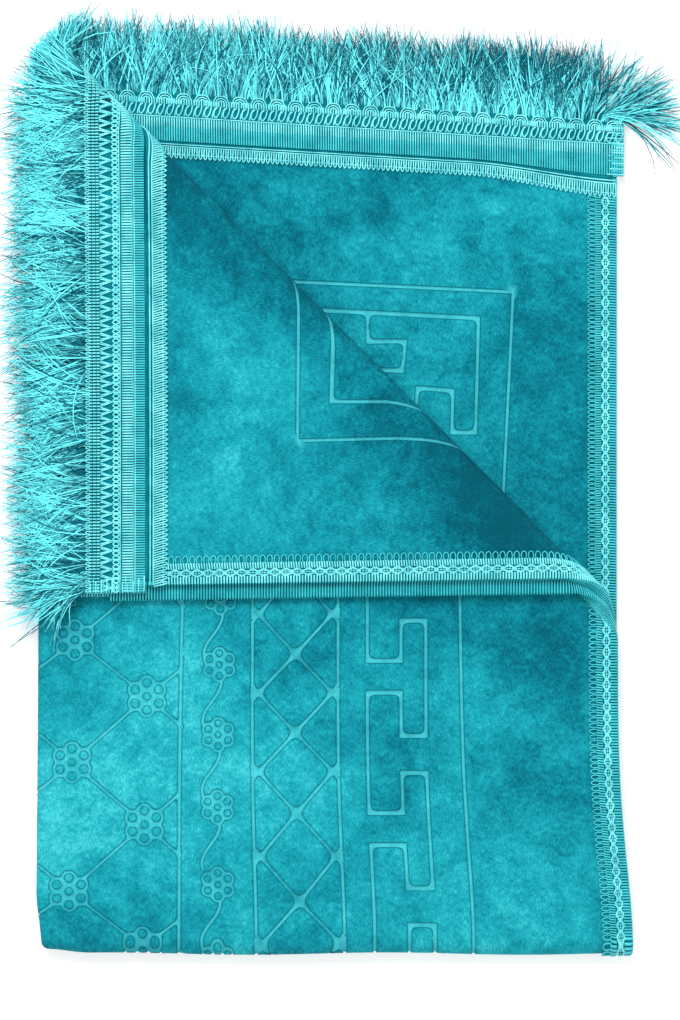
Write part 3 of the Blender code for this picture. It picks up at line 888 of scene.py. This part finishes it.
def cloth_points(low, high, step, emboss=None):
    """A grid of flat places in mm, finer at the bends, and its outline."""
    bend_u, bend_v = BEND_QUARTER / MM, CROSS_QUARTER / MM
    us = ticks(low[0], high[0], step, bend_u, bend_u / BEND_PARTS)
    vs = ticks(low[1], high[1], step, bend_v, bend_v / CROSS_PARTS)
    grid = np.stack(np.meshgrid(us, vs, indexing="ij"), axis=-1)
    outline = np.concatenate((grid[:-1, 0], grid[-1, :-1], grid[:0:-1, -1], grid[0, :0:-1]))
    inside = grid[1:-1, 1:-1].reshape(-1, 2)
    fine_places = [np.arange(low[axis] + 2, high[axis] - 1, CREASE_STEP) for axis in (0, 1)]
    fine = np.stack(np.meshgrid(*fine_places, indexing="ij"), axis=-1).reshape(-1, 2)
    inside = np.concatenate((inside[~in_crease(inside)], fine[in_crease(fine)]))
    if emboss:
        inside = inside[emboss.distance(inside) > WALL + RIM + CLEAR_OF_WALLS]
    return outline, inside


def triangulate(outline, points, chains):
    vectors = [Vector(p) for p in np.concatenate((outline, points))]
    edges = [(i, (i + 1) % len(outline)) for i in range(len(outline))]
    for chain in chains:
        first = len(vectors)
        vectors += [Vector(p) for p in chain]
        edges += [(first + i, first + i + 1) for i in range(len(chain) - 1)]
    verts, _, faces, *_ = delaunay_2d_cdt(vectors, edges, [], 0, MERGE)
    verts, faces = np.array([tuple(v) for v in verts]), np.array(faces)
    a, b, c = (verts[faces[:, i]] for i in range(3))
    area = (b[:, 0] - a[:, 0]) * (c[:, 1] - a[:, 1]) - (b[:, 1] - a[:, 1]) * (c[:, 0] - a[:, 0])
    faces[area < 0] = faces[area < 0][:, ::-1]
    longest = np.max([np.linalg.norm(p - q, axis=1) for p, q in ((a, b), (b, c), (c, a))], axis=0)
    return verts, faces[abs(area) > SLIVER * longest]


def angles_round(points, centre):
    return np.arctan2(points[:, 1] - centre[1], points[:, 0] - centre[0])


def on_outline(verts, low, high):
    """The outline's points in order round it."""
    gaps = abs(verts[:, None] - (low, high))
    where = np.nonzero((gaps < CLOSE).any(axis=(1, 2)))[0]
    return where[np.argsort(angles_round(verts[where], np.mean((low, high), axis=0)))]


def stitch(verts, top, bottom):
    """A wall of triangles between two closed rings that are ordered round the same outline."""
    centre = verts[top].mean(axis=0)
    angles = [angles_round(verts[ring], centre) for ring in (top, bottom)]
    top_angles, bottom_angles = (np.append(angle, angle[0] + 2 * math.pi) for angle in angles)
    faces, i, j = [], 0, 0
    while i < len(top) or j < len(bottom):
        a, b = top[i % len(top)], bottom[j % len(bottom)]
        if j == len(bottom) or (i < len(top) and top_angles[i + 1] <= bottom_angles[j + 1]):
            i += 1
            faces.append((a, b, top[i % len(top)]))
        else:
            j += 1
            faces.append((a, b, bottom[j % len(bottom)]))
    return np.array(faces)


def nap_and_shade(places):
    """How much lighter or darker the pile lies at each flat place: brushed patches, some of them painted
    shade, and the painted shade beside the crease.
    """
    beyond = crease_depth(places)[1]
    shade = CREASE_SHADE * np.exp(-((np.maximum(beyond, 0) / SHADE_REACH) ** 2))
    amounts = np.where(beyond > SHADE_START, shade, 0)
    for u, v, reach, amount in NAP_AND_SHADE_PATCHES:
        amounts = amounts + amount * np.exp(-(((places - (u, v)) / reach) ** 2).sum(axis=1))
    return amounts


def build_velvet():
    edge = (HALF_WIDTH - BINDING_WALL - TRIM_GAP) / MM
    inset = (HEADING_DEPTH + END_GAP) / MM
    low, high = (-edge, inset - LOWER_LENGTH / MM), (edge, UPPER_LENGTH / MM - inset)
    emboss = Emboss()
    outline, inside = cloth_points(low, high, FRONT_STEP, emboss)
    front, front_faces = triangulate(outline, np.concatenate((inside, emboss.contours())), emboss.rails())
    back, back_faces = triangulate(*cloth_points(low, high, BACK_STEP), [])
    gap = emboss.distance(front)
    raised = smooth(gap, 0.0, WALL)
    floor = 1 - raised
    # Painted shade: the pile just outside each groove's wall gets a dark rim.
    rim_shade = raised * (1 - smooth(gap, WALL, WALL + RIM))
    heights = VELVET_HALF - GROOVE * MM * floor, np.full(len(back), -VELVET_HALF)
    soup = Soup()
    soup.add(fold(np.column_stack((front * MM, heights[0]))), front_faces)
    soup.add(fold(np.column_stack((back * MM, heights[1]))), back_faces[:, ::-1])
    top, bottom = on_outline(front, low, high), on_outline(back, low, high) + len(front)
    places = np.concatenate((front, back))
    soup.add_faces(stitch(places, top, bottom))
    plain = np.zeros(len(back))
    attributes = (
        ("flat", "FLOAT_VECTOR", np.column_stack((places * MM, np.zeros(len(places))))),
        ("pressed", "FLOAT", np.concatenate((floor * emboss.light(front), plain))),
        ("rim_shade", "FLOAT", np.concatenate((rim_shade, plain))),
        ("nap_and_shade", "FLOAT", nap_and_shade(places)),
    )
    return soup.build("velvet_ground", [VELVET], "velvet", attributes)


# ---------------------------------------------------------------- the braids

RUN_END = HALF_WIDTH + TRIM_OVERHANG
# The yarns start and end this far from the folds, and the far end of an end's heading lies this far in.
FOLD_CLEAR = 4 * MM
HEADING_SHORT = 3 * MM
# The bands under the yarns: their top, the side one's depth and rounding, and how far the gimp's loops go on.
BAND_LIFT = TRIM_OUTER - 0.3 * MM
BRAID_GROUND = 13.6 * MM
BINDING_ROUND = 0.8 * MM
GIMP_LOOPS = 2.5 * MM
# In mm from here on, unless a value says MM: runs, depths in from the edge, heights over the braid's face,
# radii and the pitches at which yarns repeat.
ARCH = 11.2
HALF_ARCH = ARCH / 2
STITCH, STITCH_STEPS = 1.6, 3
WAVY_HEIGHT = 0.25
# How high a flattened yarn is for its width.
FLAT_YARN = 0.8


def wavy(depth, side, rise, turns, phase):
    """A cord's shape: it swings sideways by side and rises and falls twice as often, turns times a pitch."""

    def shape(at):
        angle = 2 * math.pi * (at * turns + phase)
        return depth + side * np.sin(angle), WAVY_HEIGHT + rise * np.cos(2 * angle)

    return shape


def add_beads(trim, span, depth, rise, low, radius, pitch=STITCH):
    """A straight cord that rises and falls like a row of beads."""

    def shape(at):
        return np.full_like(at, depth), low + rise * (0.5 + 0.5 * np.cos(2 * math.pi * at))

    trim.cord(span, pitch, shape, STITCH_STEPS, radius)


def add_arches(trim, span):
    """The lower end's outer rows: nested arches on a tape, leaning loops and a thin cord."""
    small, half = starts(span, 1.5), starts(span, HALF_ARCH)
    for wide, top in ((4.7, 0.3), (3.3, 1.7), (1.9, 3.0)):
        arch = [(-wide, 6.4, 0.1), (-wide, 4.2, 0.35), (-wide * 0.6, top + 0.5, 0.45), (0, top, 0.45)]
        trim.yarns(starts(span, ARCH), both_halves(arch), 11, 0.5)
    trim.yarns(small, [(0, 3.5, 0.2), (0, 4.6, 0.75), (0, 6.9, 0.2)], 4, 0.5)
    loop = [(-2.4, 7.0, 0.1), (-1.7, 10.6, 0.4), (0.2, 13.6, 0.35)]
    loop += [(1.7, 12.2, 0.5), (1.1, 9.0, 0.6), (-0.7, 7.2, 0.3)]
    trim.yarns(half, loop, 11, 0.55)
    trim.yarns(half, [(0.4, 7.2, 0.1), (2.0, 10.4, 0.2), (2.7, 13.8, 0.2)], 4, 0.5)
    add_beads(trim, span, 14.6, 0.3, 0.35, 0.45)
    trim.yarns(small, [(0, 15.2, 0.1), (0, 16.4, 0.6), (0, 19.4, 0.6), (0, 21, 0.1)], 5, 0.55)


def add_plaits(trim, span):
    """The upper end's outer rows: three knotted columns, a lattice of doubled points and a row of eights."""
    half = starts(span, HALF_ARCH)
    for depth in (0.5, 2.8, 5.1):
        bar = [(0, depth + 0.1, 0.1), (0.15, depth + 0.8, 0.65), (0, depth + 1.5, 0.1)]
        trim.yarns(starts(span, 1.9), bar, 4, 0.62)
    picot = [(-0.8, 0.9, 0.1), (-0.75, -0.6, 0.3), (0, -1.4, 0.25)]
    trim.yarns(starts(span, 2.7), both_halves(picot), 8, 0.42)
    for wide, tip in ((2.5, 13.8), (1.4, 12.2)):
        trim.yarns(half, [(-wide, 7.2, 0.1), (-0.2, tip, 0.45)], 3, 0.5)
        trim.yarns(half, [(wide, 7.2, 0.1), (0.2, tip, 0.3)], 3, 0.5)
    for phase in (0, 0.5):
        trim.cord(span, ARCH, wavy(16.3, 1.9, 0.35, 2, phase), 16, 0.6)
    trim.yarns(half, [(0, 14.2, 0.15), (0.4, 16.3, 0.55), (0, 18.4, 0.15)], 4, 0.6)
    add_beads(trim, span, 18.7, 0.35, 0.2, 0.42)


def add_end_braids(trim, span):
    """The rows of one half of an end's braid, then its satin ribs."""
    if trim.sign > 0:
        add_plaits(trim, span)
        ribs = [(0, 20.0, -0.3), (0, 20.8, 0.5), (0, 22.8, 0.85), (0, 25.0, 0.45), (0, 26.2, 0.0)]
        trim.yarns(starts(span, 1.65), ribs, 6, 0.7, YARN, FLAT_YARN)
        add_beads(trim, span, 27.4, 0.35, 0.35, 0.36)
        shaded_ribs = [(0, 26, 0.1), (0, 29, 0.15), (0, 33.2, -0.25)]
    else:
        add_arches(trim, span)
        shaded_ribs = [(0, 20.8, 0.1), (0, 23, 0.35), (0, 27.5, 0.2), (0, 33.3, -0.05)]
    # Past the bright ribs, flat ribs in the darker copy: painted shade where the ribs' highlight falls away,
    # on the satin's own mid tone.
    trim.yarns(starts(span, 1.5), shaded_ribs, 5, 0.6, SHADED_SATIN, FLAT_YARN)


# Round the cut end of an end's trims, as (run, height): the runs past the near ones take each yarn's length.
CUT_WRAP = ((9, 0.15), (6, 0.55), (3, 0.45), (0.35, 0.3), (-0.25, -0.9), (-0.3, -2.6), (0.3, -3.6), (4, -3.7))
CUT_DEPTHS = (1.5, 33.4, 1.55)
CUT_LENGTHS = (0.62, 1.0, 0.78, 0.5, 0.9, 0.7, 1.1)
CUT_MIDDLE, CUT_NEAR = 0.8, 1


def add_cut_end(trim, place, way):
    """Yarns wound round the cut end of an end's trims, at that place; way points from it into the trims."""
    for index, depth in enumerate(np.arange(*CUT_DEPTHS)):
        size = CUT_LENGTHS[index % len(CUT_LENGTHS)]
        path = []
        for run, height in CUT_WRAP:
            length, aside = (size, size - CUT_MIDDLE) if run > CUT_NEAR else (1, 0)
            path.append((way * run * length, depth + aside, height))
        trim.yarns(np.array([place]), path, 12, 0.55, (YARN, SHADED_SATIN)[index % 2])


def add_gimp(trim, span, slant):
    for depth in (36.2, 38.0):
        add_beads(trim, span, depth, 0.5, 0.25, 0.55)
    loop = [(-0.7 - slant, 38.4, 0.15), (-0.75 - slant / 2, 41.2, 0.55), (-0.9, 44.4, 0.35), (0, 46.4, 0.15)]
    loop += [(0.9, 44.4, 0.35), (0.75 - slant / 2, 41.2, 0.55), (0.7 - slant, 38.4, 0.15)]
    trim.yarns(starts(span, 2.9), loop, 11, 0.55)
    add_beads(trim, span, 43.8, 0.3, 0.45, 0.3, 1.5)


# One scallop of a side braid, its runs as shares of the scallops' pitch.
SCALLOP = [(-0.25, 12.6, 0.0), (-0.38, 14.4, 0.2), (-0.3, 16.4, 0.3), (0, 17.4, 0.3)]
GUILLOCHE_PITCH = 13
# Round the rolled side edge and over the back, as (run, depth, height over the face).
EDGE_WRAP = (
    (0, 2.2, 0.1), (0, 0.35, -0.1), (0, -0.1, -1.2), (0, -0.25, -2.6), (0, -0.1, -4.0), (0, 0.35, -5.1),
    (0, 3, -5.35), (0, 9, -5.25),
)
# How far side 1's braid goes on past the crosswise fold: round it and just under the rug.
BRAID_PAST_FOLD = 26 * MM


def add_side_braid(trim, span, pitch, bar_kind):
    """Scalloped loops, a satin column, a guilloche with its inner stitches and the outer ribs."""
    loop = [(run * pitch, depth, height) for run, depth, height in both_halves(SCALLOP)]
    trim.yarns(starts(span, pitch), loop, 9, 0.42, SHADED_SATIN)
    trim.yarns(starts(span, 1.5), [(0, 9.4, 0.1), (0.2, 11, 0.65), (0.4, 12.8, 0.1)], 4, 0.6, bar_kind)
    for phase in (0, 0.5):
        trim.cord(span, GUILLOCHE_PITCH, wavy(6.8, 2.1, 0.2, 1, phase), 12, 0.62)
    for depth in (5.7, 6.8, 7.9):
        trim.yarns(starts(span, 1.75), [(-0.55, depth, 0.15), (0, depth, 0.42), (0.55, depth, 0.15)], 3, 0.42)
    outer = [(0, 0.6, 0.1), (0, 1.8, 0.45), (0, 3.4, 0.4), (0, 4.7, 0.1)]
    trim.yarns(starts(span, 1.7), outer, 5, 0.62, bar_kind)


def build_bindings():
    inset = GIMP_DEPTH + TRIM_GAP
    low, high = inset - LOWER_LENGTH, UPPER_LENGTH - inset
    rounded = TRIM_OUTER - BINDING_ROUND
    section = [
        (0, -rounded), (BINDING_ROUND, -TRIM_OUTER), (BINDING_BACK, -TRIM_OUTER), (BINDING_BACK, -TRIM_INNER),
        (BINDING_WALL, -TRIM_INNER), (BINDING_WALL, TRIM_INNER), (BRAID_GROUND, TRIM_INNER),
        (BRAID_GROUND, BAND_LIFT), (BINDING_ROUND, BAND_LIFT), (0, rounded),
    ]
    past_braid = inset - HEADING_DEPTH
    pieces = []
    for number, sign in ((1, 1), (2, -1)):
        trim = Trim(True, sign)
        trim.band(section, low, high)
        if sign > 0:
            add_side_braid(trim, (-BRAID_PAST_FOLD, high), 3.4, SHADED_SATIN)
        else:
            add_side_braid(trim, (FOLD_CLEAR, high), 4.1, YARN)
            add_side_braid(trim, (low, -FOLD_CLEAR), 2.9, SHADED_SATIN)
        # The yarns round the rolled edge are in the darker copy: painted shade along the edge.
        trim.yarns(starts((low - past_braid, high + past_braid), 1.7), EDGE_WRAP, 10, 0.5, SHADED_SATIN)
        piece = trim.build(f"binding_braid_{number}", BRAID, "trim_yarn")
        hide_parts(f"side_binding_{number}")
        pieces.append(piece)
    return pieces


def build_ends():
    heading = [(0, HEADING_BACK), (HEADING_DEPTH, HEADING_BACK), (HEADING_DEPTH, TRIM_INNER)]
    heading += [(SKIRT_DEPTH, TRIM_INNER), (SKIRT_DEPTH, BAND_LIFT), (0, BAND_LIFT)]
    low, high = GIMP_DEPTH - GIMP_WIDTH, GIMP_DEPTH - GIMP_LOOPS
    gimp = [(low, TRIM_INNER), (high, TRIM_INNER), (high, BAND_LIFT), (low, BAND_LIFT)]
    heading_end = HALF_WIDTH - HEADING_SHORT
    pieces = []
    for name, sign, slant in (("a", 1, 1.6), ("b", -1, 0.2)):
        trim = Trim(False, sign)
        trim.band(heading, -RUN_END, heading_end)
        add_end_braids(trim, (-RUN_END, -FOLD_CLEAR))
        add_cut_end(trim, -RUN_END, 1)
        add_cut_end(trim, heading_end, -1)
        pieces.append(trim.build(f"end_braids_{name}", BRAID, "trim_yarn"))
        trim = Trim(False, sign)
        trim.band(gimp, -HALF_WIDTH, HALF_WIDTH)
        add_gimp(trim, (-HALF_WIDTH, -FOLD_CLEAR), slant)
        pieces.append(trim.build(f"gimp_loops_{name}", BRAID, "trim_yarn"))
        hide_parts(f"end_gimp_{name}")
    return pieces


# ---------------------------------------------------------------- the fringe

STRANDS_SHOWN, STRANDS_HIDDEN = 2700, 1300
FIRST_SEED = 11
STRAND_LENGTH = 46 * MM
TUFT_PITCH = 5.6 * MM
STRAND_RADIUS = 0.4 * MM
STRAND_STEPS = (0.0, 0.1, 0.28, 0.5, 0.75, 1.0)
STRAND_TAPER = (1.0, 1.0, 1.0, 0.95, 0.85, 0.4)
# How much of a tuft's strands stand close together, and the limits of a strand's length against its tuft's.
CLOSE_SHARE = 0.65
LENGTH_LIMITS = (0.5, 1.12)
ROOT_INSET = 1 * MM
# Near the heading's ends the strands turn outwards, by this much at each end's free corner.
CORNER_REACH = 30 * MM
CORNER_TURNS = {1: math.radians(6), -1: math.radians(78)}
# How far out across the top left corner strands may reach, and the shortest that they are cut to.
CORNER_LIMIT, CORNER_SPREAD = 330 * MM, 12 * MM
SHORTEST, LEAST_REACH = 8 * MM, 0.05
# The lowest that a strand's middle lies over the floor, as it is worked out and as it is laid.
LOWEST_SETTLED, LOWEST_LAID = 0.5 * MM, 0.4 * MM
# How light each end's strands are painted; the upper end's get painted shade at their roots, over the same
# steps.
STRAND_LIGHT = {1: 0.54, -1: 0.41}
ROOT_SHADE = (-0.30, -0.24, -0.10, 0.02, 0.08, 0.10)
# Towards the lower end's free corner its strands get painted shade at their tips and painted light at their
# roots.
TIP_SHADE, TIP_SHADE_START = 0.5, 0.4
TIP_SHADE_SPAN, TIP_SHADE_STOP = (120 * MM, 290 * MM), (315 * MM, 350 * MM)


def unit(vectors):
    return vectors / np.linalg.norm(vectors, axis=1, keepdims=True)


def strand_light(rng, half, place, tuft, tufts):
    """The painted light and shade of each point of each strand."""
    count = len(place)
    light = rng.normal(STRAND_LIGHT[half], 0.28, (count, 1)) + rng.normal(0, 0.14, (count, len(STRAND_STEPS)))
    light += rng.normal(0, 0.06, (tufts, 1))[tuft]
    if half > 0:
        return light + ROOT_SHADE
    shaded = smooth(-place, *TIP_SHADE_SPAN) * (1 - smooth(-place, *TIP_SHADE_STOP))
    return light - TIP_SHADE * shaded[:, None] * (np.array(STRAND_STEPS) - TIP_SHADE_START)


def strand_roots(half, place, h):
    """Where strands leave the heading: their roots, heights, and the ways ahead and outwards."""
    length = UPPER_LENGTH if half > 0 else LOWER_LENGTH
    v = np.full(len(place), half * (length - ROOT_INSET))
    x, y, z = folded(place, v, h)
    root = np.stack((x, y), axis=-1)
    ahead = folded(place, v + half * MM, h)
    beside = folded(place + np.copysign(MM, place), v, h)
    direction, outward = (unit(np.stack(toward[:2], axis=-1) - root) for toward in (ahead, beside))
    return root, z, direction, outward


def add_strands(soup, half, low, high, count, seed):
    """Strands that leave the heading in tufts and fan out; returns the painted light and shade of each of
    their points.
    """
    rng = np.random.default_rng(seed)
    tufts = max(1, int((high - low) / TUFT_PITCH))
    tuft = rng.integers(0, tufts, count)
    centre = low + (tuft + 0.5) * (high - low) / tufts
    close = rng.random(count) < CLOSE_SHARE
    spread = np.where(close, rng.normal(0, 0.17, count), rng.uniform(-0.5, 0.5, count))
    place = np.clip(centre + spread * TUFT_PITCH, low, high)
    fan = 0.9 * spread + rng.normal(0, 0.20, count) + rng.normal(0, 0.15, tufts)[tuft]
    curl = rng.normal(0, 0.38, count) + rng.normal(0, 0.16, tufts)[tuft]
    size = STRAND_LENGTH * rng.uniform(0.84, 1.08, tufts)[tuft]
    size = size * np.clip(rng.normal(0.965, 0.1, count), *LENGTH_LIMITS)
    h = rng.uniform(HEADING_BACK + 0.3 * MM, TRIM_OUTER, count)
    lift = rng.normal(0.3 * MM, 1.5 * MM, count)
    light = strand_light(rng, half, place, tuft, tufts)

    root, z, direction, outward = strand_roots(half, place, h)
    edge_turn = CORNER_TURNS[half] * (1 - smooth(RUN_END - abs(place), 0, CORNER_REACH))
    fan = edge_turn + np.copysign(1, place) * fan
    angles = [(fan + curl * share) * min(1.0, 4 * share) for share in STRAND_STEPS]
    steps = [direction * np.cos(a)[:, None] + outward * np.sin(a)[:, None] for a in angles]
    shares = np.diff(STRAND_STEPS, prepend=0)
    full = sum(step * share for step, share in zip(steps, shares))
    across_corner = (root[:, 1] + START_Y - root[:, 0] - START_X) / ROOT2
    room_left = CORNER_LIMIT - across_corner - rng.uniform(0, CORNER_SPREAD, count)
    reach = (full[:, 1] - full[:, 0]) / ROOT2
    limited = np.minimum(size, np.maximum(room_left, SHORTEST) / np.maximum(reach, LEAST_REACH))
    size = np.where(reach > 0, limited, size)

    at, rings = root, []
    for step, share, total in zip(steps, shares, STRAND_STEPS):
        at = at + step * (size * share)[:, None]
        rings.append(laid(at[:, 0], at[:, 1], np.maximum(z + lift * total, LOWEST_SETTLED)))
    paths = np.stack(rings, axis=1)
    paths[..., 2] = np.maximum(paths[..., 2], LOWEST_LAID)
    radius = STRAND_RADIUS * np.array(STRAND_TAPER) * rng.uniform(0.75, 1.25, (count, 1))
    soup.add(*tubes(paths, radius))
    return np.repeat(np.clip(light, 0, 1).reshape(-1), YARN_SIDES)


def build_fringes():
    made = []
    for name, half in (("a", 1), ("b", -1)):
        seed = FIRST_SEED + 2 * half
        shown, under = (-RUN_END, 0, STRANDS_SHOWN, seed), (0, RUN_END, STRANDS_HIDDEN, seed + 1)
        for part, strands in (("shown", shown), ("under", under)):
            soup = Soup()
            light = add_strands(soup, half, *strands)
            shade = (("shade", "FLOAT", light),)
            piece = soup.build(f"fringe_strands_{name}_{part}", [STRAND], "fringe_yarn", shade)
            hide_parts(f"fringe_{name}")
            made.append(piece)
    return made


# ---------------------------------------------------------------- the studio

FLOOR_REACH = 3
FLOOR_COLOUR, FLOOR_GLOW = (0.60, 0.597, 0.594, 1), 0.45
WHITE = (1, 1, 1, 1)
SKY_LIGHT = 0.8
# The lights as (name, place, size, power).
LIGHTS = (("key", (-0.35, 0.95, 1.8), 0.7, 32), ("fill", (0.9, -0.6, 1.6), 1.4, 8))
# The photograph is looked at straight down: its 1020 px are 612 mm at the rug's upper face.
VIEW_HEIGHT = 2.6
VIEW_LENGTH = 612 * MM
VIEW_LEVEL = 25 * MM
SENSOR = 24
VIEW_CLIP = 20


def build_floor():
    mesh = bpy.data.meshes.new("floor")
    corners = [(x * FLOOR_REACH, y * FLOOR_REACH, 0) for x, y in ((-1, -1), (1, -1), (1, 1), (-1, 1))]
    mesh.from_pydata(corners, [], [(0, 1, 2, 3)])
    floor = bpy.data.objects.new("floor", mesh)
    bpy.context.collection.objects.link(floor)
    look = Look("floor", 0.9)
    colours = {"Base Color": FLOOR_COLOUR, "Emission Color": WHITE, "Emission Strength": FLOOR_GLOW}
    look.feed(look.shader, colours)
    mesh.materials.append(look.material)


def build_lights():
    world = bpy.data.worlds.new("studio")
    world.use_nodes = True
    background = world.node_tree.nodes["Background"]
    background.inputs["Color"].default_value = WHITE
    background.inputs["Strength"].default_value = SKY_LIGHT
    bpy.context.scene.world = world
    bpy.context.scene.view_settings.view_transform = "Standard"
    for name, place, size, power in LIGHTS:
        light = bpy.data.lights.new(name, "AREA")
        light.size = size
        light.energy = power
        piece = bpy.data.objects.new(name, light)
        piece.location = place
        piece.rotation_euler = (-Vector(place)).to_track_quat("-Z", "Y").to_euler()
        bpy.context.collection.objects.link(piece)


def build_camera():
    camera = bpy.data.cameras.new("camera")
    camera.sensor_fit = "VERTICAL"
    camera.sensor_height = SENSOR
    camera.lens = SENSOR * (VIEW_HEIGHT - VIEW_LEVEL) / VIEW_LENGTH
    camera.clip_end = VIEW_CLIP
    piece = bpy.data.objects.new("camera", camera)
    piece.location = (SHIFT[0], SHIFT[1], VIEW_HEIGHT)
    bpy.context.collection.objects.link(piece)
    bpy.context.scene.camera = piece


build_floor()
build_lights()
build_camera()
velvet = build_velvet()
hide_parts("rug_velvet")
trims = build_bindings() + build_ends() + build_fringes()
